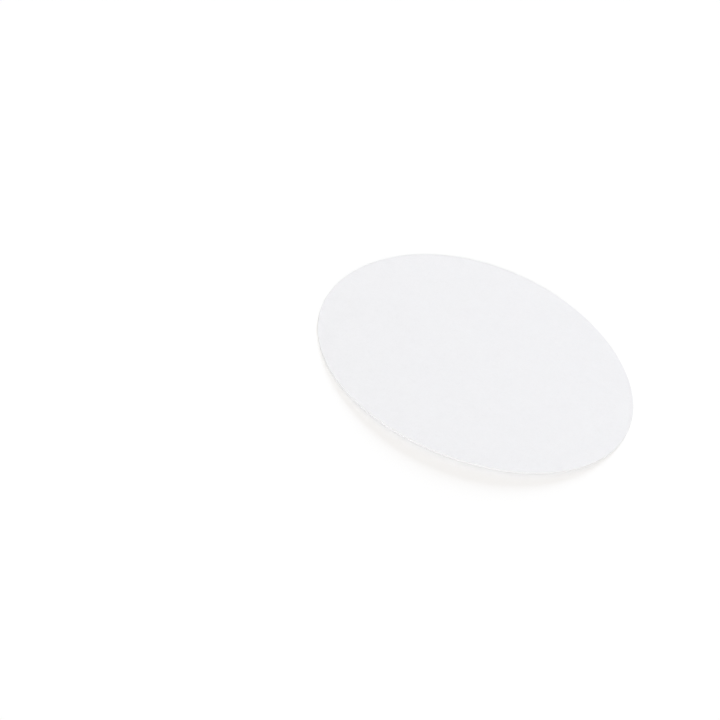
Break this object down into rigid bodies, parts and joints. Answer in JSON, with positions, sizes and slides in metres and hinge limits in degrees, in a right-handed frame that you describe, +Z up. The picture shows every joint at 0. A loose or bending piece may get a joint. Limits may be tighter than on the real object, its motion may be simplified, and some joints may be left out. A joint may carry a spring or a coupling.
{
  "type": "filter paper disc",
  "caption": "Thin round sheet of white filter paper with a clean cut rim, slightly arched as it lies, laid in a funnel or dish to strain solids from a liquid.",
  "frame": {"origin": "on the surface that the paper lies on, under the middle of the disc", "axes": "+Z up, through the thin way of the paper; +X across the arch, towards one of the two low ends; +Y along its straight crown line"},
  "size_m": [0.07, 0.07, 0.0014],
  "materials": {
    "paper": "smooth matt white filter paper"
  },
  "bodies": {
    "root": {"paper_disc": "paper"}
  },
  "joints": []
}
